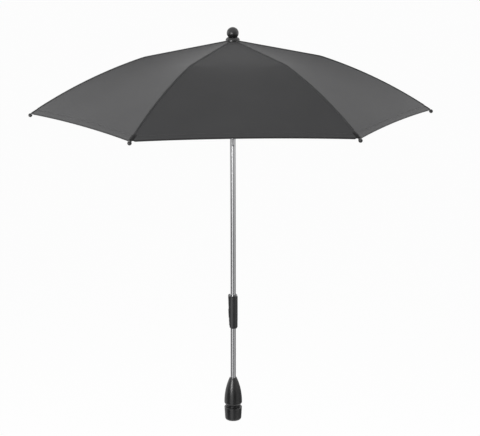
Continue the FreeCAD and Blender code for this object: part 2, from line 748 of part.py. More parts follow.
loop = doc.addObject("Part::Torus", "hub_ring")
bind(loop, "Radius1", hub_r)
bind(loop, "Radius2", v.hub_ring_radius)
loop.Placement.Base = V(0, 0, hub_z.value)
loop.setExpression("Placement.Base.z", hub_z.text)

turned("finial_stud", box_points(0, v.stud_radius, knob_centre - v.stud_length, knob_centre))
turned("top_washer", box_points(stud_bore, v.washer_radius, hub_top + v.fit_gap, cap_base - v.fit_gap))
neck_height = knob_centre - root(v.knob_radius * v.knob_radius - v.knob_neck_radius * v.knob_neck_radius)
skirt_top = skirt_z + v.skirt_edge
skirt_run = v.skirt_radius - v.knob_neck_radius
skirt_climb = neck_height - skirt_top
skirt_arc = v.skirt_arc_share * root(skirt_run * skirt_run + skirt_climb * skirt_climb)
turned("finial_knob", [
    (stud_bore, cap_base),
    (v.canopy_hole_radius, cap_base),
    (v.skirt_radius, skirt_z),
    (v.skirt_radius, skirt_top),
    (v.knob_neck_radius, neck_height, skirt_arc),
    (0, knob_top, v.knob_radius),
    (0, knob_centre + v.fit_gap),
    (stud_bore, knob_centre + v.fit_gap),
])


# Runner.
sleeve_in = tube_r + v.runner_gap
sleeve_out = sleeve_in + v.runner_wall
runner_base = run_z - v.runner_length
runner = turned("runner", [
    (sleeve_in, runner_base),
    (sleeve_out + v.runner_flange, runner_base),
    (sleeve_out + v.runner_flange, runner_base + v.runner_wall),
    (sleeve_out, runner_base + v.runner_wall + v.runner_flange),
    (sleeve_out, run_z - v.crown_half - v.runner_flange),
    (crown_r, run_z - v.crown_half),
    (crown_r, run_z + v.crown_half),
    (sleeve_out, run_z + v.crown_half + v.runner_flange),
    (sleeve_out, run_z + v.runner_top),
    (sleeve_in, run_z + v.runner_top),
])
crown_slot = draw(new_sketch(runner, "XY_Plane", run_z + v.runner_top),
                  box_points(v.runner_pivot_radius - v.stretcher_eye_radius - v.run_gap,
                             crown_r + v.run_gap, -slot_half, slot_half))
around(runner, pocket(runner, crown_slot, 2 * v.runner_top, "One side"))


# Ribs with their brackets, pins, tips and stretchers.
def make_rib(label, turn):
    body = new_body(label)
    line = draw(new_sketch(body, "XZ_Plane"), [
        (hub_r, hub_z),
        bend,
        bend_end + (-v.rib_bend_arc,),
        rib_end + (-v.rib_outer_arc,),
    ], closed=False)
    section = body.newObject("Sketcher::SketchObject", label + "_section")
    section.AttachmentSupport = [(line, "Edge1"), (line, "Vertex1")]
    section.MapMode = "NormalToEdge"
    ring(section, 0, 0, v.rib_radius)
    rod = body.newObject("PartDesign::AdditivePipe", label + "_rod")
    rod.Profile = section
    rod.Spine = (line, ["Edge1", "Edge2", "Edge3"])
    pad(body, ring(new_sketch(body, "XZ_Plane"), hub_r, hub_z, v.rib_eye_radius), v.rib_eye_width)
    cross_hole(body, hub_z, v.hub_ring_radius + v.run_gap, hub_r)
    place(body, V(0, 0, 0), 0, turn)


def make_bracket(label, turn):
    body = new_body(label)
    half = v.bracket_length / 2
    foot = v.bracket_drop + v.stretcher_eye_radius
    low = half - v.stretcher_eye_radius
    pad(body, draw(new_sketch(body, "XZ_Plane"), [
        (bracket_u - low, -foot),
        (bracket_u + low, -foot),
        (bracket_u + half, -v.bracket_drop),
        (bracket_u + half, v.rib_radius / 2),
        (bracket_u - half, v.rib_radius / 2),
        (bracket_u - half, -v.bracket_drop),
    ]), v.bracket_width)
    roof = v.bracket_drop - v.stretcher_eye_radius - v.run_gap
    slot = draw(new_sketch(body, "XZ_Plane"),
                box_points(bracket_u - v.bracket_length, bracket_u + v.bracket_length, -2 * foot, -roof))
    pocket(body, slot, v.stretcher_eye_width + 2 * v.run_gap)
    cross_hole(body, -v.bracket_drop, v.bracket_pin_radius + v.fit_gap, bracket_u)
    pocket(body, ring(new_sketch(body, "YZ_Plane"), 0, 0, v.rib_radius + v.fit_gap))
    place(body, V(hub_r.value, 0, hub_z.value), v.rib_slope.value, turn)


def make_pin(label, turn):
    body = new_body(label)
    head_at = v.bracket_width / 2 + v.fit_gap
    sketch = ring(new_sketch(body, "XZ_Plane"), bracket_u, -v.bracket_drop, v.bracket_pin_radius)
    pad(body, sketch, 2 * head_at)
    for lift, reverse in ((head_at, False), (-head_at, True)):
        sketch = ring(new_sketch(body, "XZ_Plane", lift), bracket_u, -v.bracket_drop, v.pin_head_radius)
        pad(body, sketch, v.pin_head, "One side", reverse)
    place(body, V(hub_r.value, 0, hub_z.value), v.rib_slope.value, turn)


def make_tip(label, turn):
    body = new_body(label)
    ball = v.tip_ball_radius
    neck = v.tip_neck_radius
    bore = v.rib_radius + v.fit_gap
    spin(body, draw(new_sketch(body, "XZ_Plane"), [
        (-v.tip_sleeve, bore),
        (-v.tip_sleeve, neck),
        (v.tip_ball_reach - root(ball * ball - neck * neck), neck),
        (v.tip_ball_reach + ball, 0, -ball),
        (v.fit_gap, 0),
        (v.fit_gap, bore),
    ]), "H_Axis")
    place(body, V(rib_end[0].value, 0, rib_end[1].value), rib_end_slope.value, turn)


def make_stretcher(label, turn):
    body = new_body(label)
    eye = v.stretcher_eye_radius
    rod = draw(new_sketch(body, "XZ_Plane"),
               box_points(eye / 2, strut_length - eye / 2, 0, v.stretcher_radius))
    spin(body, rod, "H_Axis")
    for reach in (0, strut_length):
        pad(body, ring(new_sketch(body, "XZ_Plane"), reach, 0, eye), v.stretcher_eye_width)
        cross_hole(body, 0, v.bracket_pin_radius + v.pin_gap, reach)
    place(body, V(joint[0].value, 0, joint[1].value), strut_angle, turn)


for index, azimuth in enumerate(AZIMUTHS, start=1):
    make_rib(f"rib_{index}", azimuth)
    make_bracket(f"rib_bracket_{index}", azimuth)
    make_pin(f"rib_pin_{index}", azimuth)
    make_tip(f"rib_tip_{index}", azimuth)
    make_stretcher(f"stretcher_{index}", azimuth)


# Canopy: six panels, each ruled between the lines above two ribs, joined to one cloth.
def cloth_line(turn):
    """Edges of the fabric's top above one rib, from the middle to the corner."""
    def spot(radius, height):
        angle = math.radians(turn)
        return V(radius * math.cos(angle), radius * math.sin(angle), height)

    def outer(slope):
        arc = v.rib_outer_arc.value
        fall = math.cos(math.radians(v.rib_outer_slope.value)) - math.cos(slope)
        run = math.sin(slope) - math.sin(math.radians(v.rib_outer_slope.value))
        return spot(bend_end[0].value + arc * run, bend_end[1].value + lift - arc * fall)

    lift = v.canopy_lift.value
    first_slope = math.radians(v.rib_outer_slope.value)
    run = (v.canopy_corner_radius.value - bend_end[0].value) / v.rib_outer_arc.value
    last_slope = math.asin(math.sin(first_slope) + run)
    middle_slope = math.radians(v.rib_slope.value + v.rib_outer_slope.value) / 2
    bend_arc = v.rib_bend_arc.value
    start_slope = math.radians(v.rib_slope.value)
    half_bend = spot(bend[0].value + bend_arc * (math.sin(middle_slope) - math.sin(start_slope)),
                     bend[1].value + lift - bend_arc * (math.cos(start_slope) - math.cos(middle_slope)))
    ends = [spot(v.canopy_hole_radius.value, hole_z.value),
            spot(bend[0].value, bend[1].value + lift), outer(first_slope), outer(last_slope)]
    return [
        Part.makeLine(ends[0], ends[1]),
        Part.Arc(ends[1], half_bend, ends[2]).toShape(),
        Part.Arc(ends[2], outer((first_slope + last_slope) / 2), ends[3]).toShape(),
    ]


def cloth_solid(left, right, depth):
    """Solid of the given depth under the surface ruled between two lines."""
    drop = V(0, 0, -depth)
    faces = [Part.makeRuledSurface(a, b) for a, b in zip(left, right)]
    faces += [face.translated(drop) for face in faces]
    ends = [Part.makeLine(left[0].firstVertex().Point, right[0].firstVertex().Point),
            Part.makeLine(left[-1].lastVertex().Point, right[-1].lastVertex().Point)]
    faces += [Part.makeRuledSurface(edge, edge.translated(drop)) for edge in left + right + ends]
    shell = Part.makeShell(faces)
    shell.sewShape()
    solid = Part.makeSolid(shell)
    if solid.Volume < 0:
        solid.reverse()
    return solid


def cloth_panel(turn, step):
    """One panel between two neighbouring ribs, with its turned-down hem."""
    thick = v.canopy_thick.value
    left = cloth_line(turn)
    right = cloth_line(turn + step)
    panel = cloth_solid(left, right, thick)
    half_chord = v.canopy_corner_radius.value * math.sin(math.radians(step) / 2)
    sag = v.hem_inset.value + v.hem_margin.value
    hem_radius = (half_chord ** 2 + sag ** 2) / (2 * sag)
    reach = v.canopy_corner_radius.value * math.cos(math.radians(step) / 2) - v.hem_inset.value + hem_radius
    angle = math.radians(turn + step / 2)
    tall = run_z.value
    base = V(reach * math.cos(angle), reach * math.sin(angle), tall / 2)
    outside = Part.makeCylinder(hem_radius, tall, base)
    band = Part.makeCylinder(hem_radius + thick, tall, base)
    hem = cloth_solid(left, right, thick + v.hem_drop.value).common(band)
    for edge in (left[-1], right[-1]):
        corner = edge.lastVertex().Point
        hem = hem.cut(Part.makeCylinder(v.hem_notch.value, tall, V(corner.x, corner.y, tall / 2)))
    return panel.fuse(hem).cut(outside)


panels = [cloth_panel(azimuth, AZIMUTHS[1]) for azimuth in AZIMUTHS]
canopy = doc.addObject("Part::Feature", "canopy")
canopy.Shape = panels[0].multiFuse(panels[1:]).removeSplitter().Solids[0]

doc.recompute()

HELPERS = {"spring_line", "spring_wire"}
for thing in doc.Objects:
    if {"Invalid", "Error"} & set(thing.State):
        raise RuntimeError(f"{thing.Label} did not build: {thing.State}")
for thing in doc.RootObjects:
    if thing.isDerivedFrom("Part::Feature") and thing.Label not in HELPERS:
        if thing.Shape.isNull() or not thing.Shape.isValid():
            raise RuntimeError(f"{thing.Label} has no valid shape")
        thing.Shape.exportStep(f"parts/{thing.Label}.step")
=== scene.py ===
import json
import math

import bmesh
import bpy
from mathutils import Matrix, Vector


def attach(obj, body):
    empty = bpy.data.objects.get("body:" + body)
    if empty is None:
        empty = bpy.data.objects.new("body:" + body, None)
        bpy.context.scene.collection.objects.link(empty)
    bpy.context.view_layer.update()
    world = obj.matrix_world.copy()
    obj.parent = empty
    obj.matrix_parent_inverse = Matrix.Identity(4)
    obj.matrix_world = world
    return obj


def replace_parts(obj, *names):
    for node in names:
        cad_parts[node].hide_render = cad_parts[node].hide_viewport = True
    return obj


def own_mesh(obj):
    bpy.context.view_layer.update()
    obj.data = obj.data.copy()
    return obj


# Pram parasol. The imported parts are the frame; the fabric, its seams and stitches are built here.
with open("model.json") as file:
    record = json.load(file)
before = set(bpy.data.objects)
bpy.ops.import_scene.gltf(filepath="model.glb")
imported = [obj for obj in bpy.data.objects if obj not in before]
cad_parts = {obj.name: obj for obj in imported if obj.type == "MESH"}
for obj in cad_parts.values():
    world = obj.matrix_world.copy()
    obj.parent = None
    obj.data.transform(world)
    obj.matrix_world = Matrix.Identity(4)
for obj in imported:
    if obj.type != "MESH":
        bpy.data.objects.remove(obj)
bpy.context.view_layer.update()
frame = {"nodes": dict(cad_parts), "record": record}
nodes = frame["nodes"]
scene = bpy.context.scene
scene.view_settings.view_transform = "Standard"

MM = 0.001
RIBS = 6
STEP = 2.0 * math.pi / RIBS


# Materials. Scales are waves or specks per metre, bump depths are metres.
LOW_STOP, HIGH_STOP = 0.3, 0.7
WIDE_LOW, WIDE_HIGH = 0.25, 0.75
WIDEST_LOW, WIDEST_HIGH = 0.2, 0.8
PATCH_SCALE = 55.0
ROUGH_LESS, ROUGH_MORE = 0.05, 0.06
WORN_FROM, WORN_FULL, WORN_GAIN = 0.52, 0.60, 1.9
COAT_ROUGH = 0.2
GRAIN_BUMP, GRAIN_DEPTH = 0.12, 0.0002
STREAK_SCALE = (900.0, 900.0, 9.0)
STREAK_ROUGH = 0.05
STREAK_BUMP, STREAK_DEPTH = 0.03, 0.0001
WEAVE_SCALE, WEAVE_WANDER = 330.0, 0.6
SLUB_SCALE, FADE_SCALE = 900.0, 11.0
WEAVE_TONES, SLUB_TONES, CLOTH_ROUGH = (0.72, 1.04), (0.94, 1.05), (0.72, 0.86)
CLOTH_SPECULAR, CLOTH_SHEEN, SHEEN_ROUGH = 0.25, 0.12, 0.4
WEAVE_BUMP, WEAVE_DEPTH = 0.25, 0.0002


def new_material(name):
    material = bpy.data.materials.new(name)
    material.use_nodes = True
    tree = material.node_tree
    return material, tree, tree.nodes["Principled BSDF"]


def add(tree, kind, **inputs):
    """New node; sockets are set by name, with spaces written as underscores."""
    node = tree.nodes.new(kind)
    for key, value in inputs.items():
        node.inputs[key.replace("_", " ")].default_value = value
    return node


def wire(tree, start, out, stop, into):
    tree.links.new(start.outputs[out], stop.inputs[into])


def ramp_between(tree, source, out, stops):
    """Colour ramp over a value, stops as (place, grey or colour)."""
    ramp = tree.nodes.new("ShaderNodeValToRGB")
    wire(tree, source, out, ramp, "Fac")
    bar = ramp.color_ramp
    while len(bar.elements) < len(stops):
        bar.elements.new(0.5)
    for element, (place, tone) in zip(bar.elements, stops):
        element.position = place
        colour = tone if isinstance(tone, tuple) else (tone, tone, tone)
        element.color = colour + (1.0,)
    return ramp


def bump_from(tree, shader, source, out, strength, distance):
    bump = add(tree, "ShaderNodeBump", Strength=strength, Distance=distance)
    wire(tree, source, out, bump, "Height")
    wire(tree, bump, "Normal", shader, "Normal")


def plastic(name, dark, light, rough, grain, coat=0.0, shine=0.5):
    """Moulded plastic: fine grain, slow tone changes, slightly worn edges."""
    material, tree, shader = new_material(name)
    place = tree.nodes.new("ShaderNodeTexCoord")
    slow = add(tree, "ShaderNodeTexNoise", Scale=PATCH_SCALE, Detail=3.0)
    fine = add(tree, "ShaderNodeTexNoise", Scale=grain, Detail=2.0)
    wire(tree, place, "Object", slow, "Vector")
    wire(tree, place, "Object", fine, "Vector")
    tone = ramp_between(tree, slow, "Fac", [(LOW_STOP, dark), (HIGH_STOP, light)])
    shape = tree.nodes.new("ShaderNodeNewGeometry")
    worn = ramp_between(tree, shape, "Pointiness", [(WORN_FROM, 0.0), (WORN_FULL, 1.0)])
    mix = tree.nodes.new("ShaderNodeMixRGB")
    mix.blend_type = "MIX"
    wire(tree, worn, "Color", mix, "Fac")
    wire(tree, tone, "Color", mix, "Color1")
    mix.inputs["Color2"].default_value = tuple(min(1.0, c * WORN_GAIN) for c in light) + (1.0,)
    wire(tree, mix, "Color", shader, "Base Color")
    gloss = ramp_between(tree, slow, "Fac",
                         [(WIDE_LOW, rough - ROUGH_LESS), (WIDE_HIGH, rough + ROUGH_MORE)])
    wire(tree, gloss, "Color", shader, "Roughness")
    shader.inputs["Specular IOR Level"].default_value = shine
    shader.inputs["Coat Weight"].default_value = coat
    shader.inputs["Coat Roughness"].default_value = COAT_ROUGH
    bump_from(tree, shader, fine, "Fac", GRAIN_BUMP, GRAIN_DEPTH)
    return material


def metal(name, tone, rough, streak):
    """Drawn or plated metal with faint lengthwise streaks."""
    material, tree, shader = new_material(name)
    place = tree.nodes.new("ShaderNodeTexCoord")
    stretch = tree.nodes.new("ShaderNodeMapping")
    stretch.inputs["Scale"].default_value = STREAK_SCALE
    wire(tree, place, "Object", stretch, "Vector")
    lines = add(tree, "ShaderNodeTexNoise", Scale=1.0, Detail=3.0)
    wire(tree, stretch, "Vector", lines, "Vector")
    darker = tuple(c * (1.0 - streak) for c in tone)
    shade = ramp_between(tree, lines, "Fac", [(LOW_STOP, darker), (HIGH_STOP, tone)])
    wire(tree, shade, "Color", shader, "Base Color")
    blur = ramp_between(tree, lines, "Fac", [(LOW_STOP, rough), (HIGH_STOP, rough + STREAK_ROUGH)])
    wire(tree, blur, "Color", shader, "Roughness")
    shader.inputs["Metallic"].default_value = 1.0
    bump_from(tree, shader, lines, "Fac", STREAK_BUMP, STREAK_DEPTH)
    return material


def cloth(name, dark, light):
    """Plain weave in the sheet's own lengths: crossed threads, slubs and slow fading."""
    material, tree, shader = new_material(name)
    place = tree.nodes.new("ShaderNodeUVMap")
    place.uv_map = "cloth"
    warp = add(tree, "ShaderNodeTexWave", Scale=WEAVE_SCALE, Distortion=WEAVE_WANDER, Detail=1.0)
    weft = add(tree, "ShaderNodeTexWave", Scale=WEAVE_SCALE, Distortion=WEAVE_WANDER, Detail=1.0)
    weft.bands_direction = "Y"
    slub = add(tree, "ShaderNodeTexNoise", Scale=SLUB_SCALE, Detail=2.0)
    fade = add(tree, "ShaderNodeTexNoise", Scale=FADE_SCALE, Detail=4.0)
    for texture in (warp, weft, slub, fade):
        wire(tree, place, "UV", texture, "Vector")
    weave = tree.nodes.new("ShaderNodeMixRGB")
    weave.blend_type = "LIGHTEN"
    weave.inputs["Fac"].default_value = 1.0
    wire(tree, warp, "Color", weave, "Color1")
    wire(tree, weft, "Color", weave, "Color2")
    tone = ramp_between(tree, fade, "Fac", [(WIDE_LOW, dark), (WIDE_HIGH, light)])
    thread = ramp_between(tree, weave, "Color", [(0.0, WEAVE_TONES[0]), (1.0, WEAVE_TONES[1])])
    speck = ramp_between(tree, slub, "Fac", [(LOW_STOP, SLUB_TONES[0]), (HIGH_STOP, SLUB_TONES[1])])
    first = tree.nodes.new("ShaderNodeMixRGB")
    second = tree.nodes.new("ShaderNodeMixRGB")
    for node in (first, second):
        node.blend_type = "MULTIPLY"
        node.inputs["Fac"].default_value = 1.0
    wire(tree, tone, "Color", first, "Color1")
    wire(tree, thread, "Color", first, "Color2")
    wire(tree, first, "Color", second, "Color1")
    wire(tree, speck, "Color", second, "Color2")
    wire(tree, second, "Color", shader, "Base Color")
    rough = ramp_between(tree, slub, "Fac", [(WIDEST_LOW, CLOTH_ROUGH[0]), (WIDEST_HIGH, CLOTH_ROUGH[1])])
    wire(tree, rough, "Color", shader, "Roughness")
    shader.inputs["Specular IOR Level"].default_value = CLOTH_SPECULAR
    shader.inputs["Sheen Weight"].default_value = CLOTH_SHEEN
    shader.inputs["Sheen Roughness"].default_value = SHEEN_ROUGH
    bump_from(tree, shader, weave, "Color", WEAVE_BUMP, WEAVE_DEPTH)
    return material


black = plastic("black_moulding", (0.007, 0.007, 0.0075), (0.011, 0.011, 0.0115),
                rough=0.31, grain=2600.0, shine=0.68)
button_black = plastic("button_moulding", (0.020, 0.020, 0.021), (0.030, 0.030, 0.031),
                       rough=0.5, grain=3200.0)
inner_black = plastic("inner_moulding", (0.022, 0.022, 0.023), (0.034, 0.034, 0.035),
                      rough=0.5, grain=2200.0)
tip_black = plastic("tip_moulding", (0.014, 0.014, 0.015), (0.024, 0.024, 0.025),
                    rough=0.3, grain=2600.0, coat=0.2)
chrome = metal("bright_tube", (0.72, 0.72, 0.73), rough=0.16, streak=0.05)
steel = metal("plain_steel", (0.60, 0.60, 0.61), rough=0.3, streak=0.12)
rod_steel = metal("rib_rod", (0.46, 0.46, 0.47), rough=0.34, streak=0.2)
fabric = cloth("canopy_weave", (0.066, 0.066, 0.068), (0.076, 0.076, 0.078))
# Painted shade: the hem's turned-down edge is the canopy weave at about half its tone, standing in for the
# fold's shadow.
hem_painted_shade = cloth("hem_painted_shade_weave", (0.030, 0.030, 0.031), (0.038, 0.038, 0.039))
# The seam's cloth is a little darker than the canopy's.
seam_fabric = cloth("seam_weave", (0.052, 0.052, 0.0535), (0.060, 0.060, 0.0615))
pocket_fabric = cloth("pocket_weave", (0.015, 0.015, 0.0155), (0.021, 0.021, 0.0215))
thread_black = plastic("sewing_thread", (0.052, 0.052, 0.053), (0.066, 0.066, 0.067),
                       rough=0.7, grain=5000.0)

BY_SLOT = {
    "black_plastic": black,
    "button_plastic": button_black,
    "inner_plastic": inner_black,
    "tube_chrome": chrome,
    "steel": steel,
    "canopy_fabric": fabric,
    "rib_steel": rod_steel,
    "bracket_plastic": inner_black,
    "tip_plastic": tip_black,
    "pin_steel": steel,
}
for part in frame["record"]["subparts"]:
    slots = nodes[part["node"]].data.materials
    slots.clear()
    slots.append(BY_SLOT[part["material_slot"]])


# Canopy. Lengths in millimetres, as in the solids.
HUB_R, HUB_Z = 9.0, 687.3
HOLE_R, HOLE_Z = 6.0, 692.3
BEND_R, BEND_ARC = 146.0, 80.0
INNER_SLOPE, OUTER_SLOPE = math.radians(9.85), math.radians(18.5)
OUTER_ARC = 812.0
LIFT = 2.7
CORNER_R = 347.8
HEM_INSET, HEM_DROP, HEM_NOTCH = 3.6, 2.5, 2.8
HEM_FOLD = 9.0
FABRIC = 0.6
UNDER = 0.2
SAG, SAG_POWER = 5.0, 1.3
SOFT_REACH, SOFT_STEPS = 45.0, 6
PROBE, PROBE_ACROSS = 0.4, 0.004
HEM_RISE, HEM_OUT, HEM_ROUND = 0.12, 0.25, 0.2
HEM_NOTCH_RUN, HEM_UNDER_ROWS = 2.0, 5
HEM_TURN_SHARES, HEM_BACK_SHARES = (0.35, 0.75, 1.0), (0.5, 1.0)
LINING_TOP, LINING_BASE, LINING_PARTS = 0.66, 0.9, 8
LINING_ROWS = [15.0, 24.0, 36.0, 50.0, 66.0, 84.0, 102.0, 120.0, 136.0, BEND_R, 154.0]
STITCH_LENGTH, STITCH_PITCH, THREAD_R = 2.4, 3.2, 0.2
STITCH_PARTS = (0.0, 0.3, 0.7, 1.0)
STITCH_END_SHARE = 0.55
SEAM_START, SEAM_GAP, SEAM_STEPS, SEAM_LINE, SEAM_RISE = 13.0, 1.5, 64, 1.5, 0.55
SEAM_ACROSS, SEAM_PITCH = 0.45, (0.8, 5.0)
# Side of the rib, distance from it and rise above the fabric, from one edge of the seam to the other.
SEAM_PROFILE = [(-1, 2.3, 0.05), (-1, SEAM_LINE, SEAM_RISE), (-1, 0.7, 0.85), (1, 0.0, 0.92),
                (1, 0.7, 0.85), (1, SEAM_LINE, SEAM_RISE), (1, 2.3, 0.05)]
SEAM_STITCH_FROM, SEAM_STITCH_GAP, SEAM_STITCH_BOW = 16.0, 4.0, 0.18
HEM_STITCH_FROM, HEM_STITCH_GAP, HEM_STITCH_IN = 6.0, 1.5, 1.6
HEM_STITCH_RISE, HEM_STITCH_BOW = 0.4, 0.15
# Radius, rise above the fabric and fall below it, from the pocket's inner edge to its outer one.
POCKET_ROWS = [(CORNER_R - 10.3, 0.08, 0.0), (CORNER_R - 10.0, 0.5, 0.0), (CORNER_R - 6.0, 0.6, 0.0),
               (CORNER_R - 2.5, 0.65, 0.0), (CORNER_R, 0.6, 0.0), (CORNER_R + 0.35, 0.5, 0.2),
               (CORNER_R + 0.6, 0.4, 0.6)]
POCKET_LATERALS = [-4.4, -4.1, -3.0, -1.6, 0.0, 1.6, 3.0, 4.1, 4.4]
POCKET_EDGE, POCKET_EDGE_SHARE, POCKET_PITCH = 4.2, 0.12, (1.0, 1.3)
HALF = STEP / 2.0

BEND_Z = HUB_Z - (BEND_R - HUB_R) * math.tan(INNER_SLOPE) + LIFT
OUT_R = BEND_R + BEND_ARC * (math.sin(OUTER_SLOPE) - math.sin(INNER_SLOPE))
OUT_Z = BEND_Z - BEND_ARC * (math.cos(INNER_SLOPE) - math.cos(OUTER_SLOPE))


def rib_height(radius):
    """Top of the fabric above a rib."""
    if radius <= BEND_R:
        return HOLE_Z + (BEND_Z - HOLE_Z) * (radius - HOLE_R) / (BEND_R - HOLE_R)
    if radius <= OUT_R:
        slope = math.asin(math.sin(INNER_SLOPE) + (radius - BEND_R) / BEND_ARC)
        return BEND_Z - BEND_ARC * (math.cos(INNER_SLOPE) - math.cos(slope))
    slope = math.asin(math.sin(OUTER_SLOPE) + (radius - OUT_R) / OUTER_ARC)
    return OUT_Z - OUTER_ARC * (math.cos(OUTER_SLOPE) - math.cos(slope))


def soft_height(radius):
    """Half way between ribs the cloth runs smoothly over the ribs' bend."""
    reach = min(SOFT_REACH, radius - HOLE_R, CORNER_R - radius)
    if reach <= 0.0:
        return rib_height(radius)
    shares = [k / SOFT_STEPS for k in range(-SOFT_STEPS, SOFT_STEPS + 1)]
    return sum(rib_height(radius + reach * share) for share in shares) / len(shares)


def hem_radius(across):
    """Rib radius that the hem reaches; across runs from 0 at a rib to 0.5 half way to the next."""
    return CORNER_R - HEM_INSET * 4.0 * across * (1.0 - across) / math.cos(HALF)


def surface(azimuth, side, radius, across):
    """Fabric point between the rib at azimuth and its neighbour on that side."""
    middle = 4.0 * across * (1.0 - across)
    height = rib_height(radius) * (1.0 - middle) + soft_height(radius) * middle
    here = Vector((radius * math.cos(azimuth), radius * math.sin(azimuth), height))
    turn = azimuth + side * STEP
    there = Vector((radius * math.cos(turn), radius * math.sin(turn), height))
    point = here.lerp(there, across)
    share = radius / CORNER_R
    point.z -= SAG * math.sin(math.pi * min(1.0, share) ** SAG_POWER) * middle
    return point


def normal_at(azimuth, side, radius, across):
    """Upward normal of the fabric at a point."""
    low = max(HOLE_R, radius - PROBE)
    left = max(0.0, across - PROBE_ACROSS)
    along = surface(azimuth, side, radius + PROBE, across) - surface(azimuth, side, low, across)
    over = surface(azimuth, side, radius, across + PROBE_ACROSS) - surface(azimuth, side, radius, left)
    normal = along.cross(over) * side
    return normal.normalized()


ROWS = ([HOLE_R, 12.0, 20.0, 32.0, 46.0, 62.0, 80.0, 98.0, 116.0, 132.0]
        + [BEND_R + 2.0 * k for k in range(-2, 8)]
        + [170.0 + 12.0 * k for k in range(14)]
        + [335.0, CORNER_R - HEM_FOLD - 0.7, CORNER_R - HEM_FOLD, 339.5, 342.5, CORNER_R])
COLUMNS = [0.0, 0.008, 0.02, 0.04, 0.07] + [0.07 + 0.43 * k / 16.0 for k in range(1, 18)]


def finish_mesh(name, mesh, body, material, squash_by=None):
    """Mesh in millimetres to a smooth piece in metres that rides on a body."""
    mesh.transform(Matrix.Scale(MM, 4))
    mesh.shade_smooth()
    piece = bpy.data.objects.new(name, mesh)
    scene.collection.objects.link(piece)
    mesh.materials.append(material)
    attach(piece, body)
    if squash_by is not None:
        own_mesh(piece)
    return piece


def canopy_section(index):
    """Fabric from half way on one side of a rib to half way on the other, with its folded hem, whose turned
    edge and nearby underside carry painted shade.
    """
    azimuth = index * STEP
    mesh = bpy.data.meshes.new(f"canopy_section_{index + 1}")
    work = bmesh.new()
    layer = work.loops.layers.uv.new("cloth")
    places = {}
    sides = [(-1, c) for c in reversed(COLUMNS[1:])] + [(1, c) for c in COLUMNS]
    grid = []
    for side, across in sides:
        top, under = [], []
        stretch = (hem_radius(across) - HOLE_R) / (CORNER_R - HOLE_R)
        for row in ROWS:
            radius = HOLE_R + (row - HOLE_R) * stretch
            spot = surface(azimuth, side, radius, across)
            normal = normal_at(azimuth, side, radius, across)
            rise = HEM_RISE if row >= CORNER_R - HEM_FOLD else 0.0
            top.append(spot + normal * rise)
            under.append(spot - normal * FABRIC)
        lateral = across * CORNER_R * math.cos(HALF)
        drop = HEM_DROP * min(1.0, max(0.0, (lateral - HEM_NOTCH) / HEM_NOTCH_RUN))
        out = Vector((math.cos(azimuth + side * HALF), math.sin(azimuth + side * HALF), 0.0))
        edge, inner = top[-1].copy(), under[-1].copy()
        for part in HEM_TURN_SHARES:
            fall = Vector((0.0, 0.0, -drop * part - HEM_ROUND * part))
            top.append(edge + out * HEM_OUT * part + fall)
        for part in HEM_BACK_SHARES:
            under.append(inner - out * HEM_OUT + Vector((0.0, 0.0, (HEM_ROUND - drop) * part)))
        grid.append((side, across, top, under))
    columns = []
    for side, across, top, under in grid:
        loop = top + list(reversed(under))
        run = 0.0
        column = []
        for k, spot in enumerate(loop):
            if k:
                run += (spot - loop[k - 1]).length
            vertex = work.verts.new(spot)
            places[vertex] = (side * across * spot.to_2d().length * MM, run * MM)
            column.append(vertex)
        columns.append(column)
    # Rows from the hem's turn to just under it, which take the darker cloth as painted shade.
    hem_shade_from = len(ROWS) - 1
    hem_shade_to = len(grid[0][2]) + HEM_UNDER_ROWS
    for left, right in zip(columns, columns[1:]):
        count = len(left)
        for k in range(count):
            follow = (k + 1) % count
            face = work.faces.new((left[k], left[follow], right[follow], right[k]))
            # The hem's turn and the underside next to it take the darker cloth: painted shade.
            face.material_index = 1 if hem_shade_from <= k < hem_shade_to else 0
            for corner in face.loops:
                corner[layer].uv = places[corner.vert]
    bmesh.ops.recalc_face_normals(work, faces=work.faces)
    work.normal_update()
    # The outermost columns only give the edge its slope, so that neighbouring sections meet without a line.
    slopes = [vertex.normal.copy() for column in columns[1:-1] for vertex in column]
    bmesh.ops.delete(work, geom=columns[0] + columns[-1], context="VERTS")
    for column in (columns[1], columns[-2]):
        last = len(column) - 1
        for k in range((last + 1) // 2):
            ring = dict.fromkeys((column[k], column[k + 1], column[last - k - 1], column[last - k]))
            if len(ring) > 2:
                face = work.faces.new(list(ring))
                for corner in face.loops:
                    corner[layer].uv = places[corner.vert]
    bmesh.ops.recalc_face_normals(work, faces=work.faces)
    # The mesh has both faces of the cloth, so the sheet's area is half of it.
    area = sum(face.calc_area() for face in work.faces) * 0.5 * MM * MM
    work.to_mesh(mesh)
    work.free()
    tangent = (-math.sin(azimuth), math.cos(azimuth), 0.0)
    piece = finish_mesh(mesh.name, mesh, f"rib_{index + 1}", fabric, tangent)
    # Second slot: the darker hem cloth, painted shade on the hem's turned edge.
    piece.data.materials.append(hem_painted_shade)
    piece.data.normals_split_custom_set_from_vertices(slopes)
    return piece, area


def tube_of(work, points, radius, sides=6):
    """Thin round strand through points, with closed, slightly drawn-in ends."""
    rings = []
    last = len(points) - 1
    for k, spot in enumerate(points):
        ahead = points[min(k + 1, last)] - points[max(k - 1, 0)]
        ahead.normalize()
        first = ahead.orthogonal().normalized()
        second = ahead.cross(first)
        size = radius * (STITCH_END_SHARE if k in (0, last) else 1.0)
        rings.append([work.verts.new(spot + (first * math.cos(a) + second * math.sin(a)) * size)
                      for a in (2.0 * math.pi * j / sides for j in range(sides))])
    for left, right in zip(rings, rings[1:]):
        for j in range(sides):
            work.faces.new((left[j], left[(j + 1) % sides], right[(j + 1) % sides], right[j]))
    work.faces.new(list(reversed(rings[0])))
    work.faces.new(rings[-1])


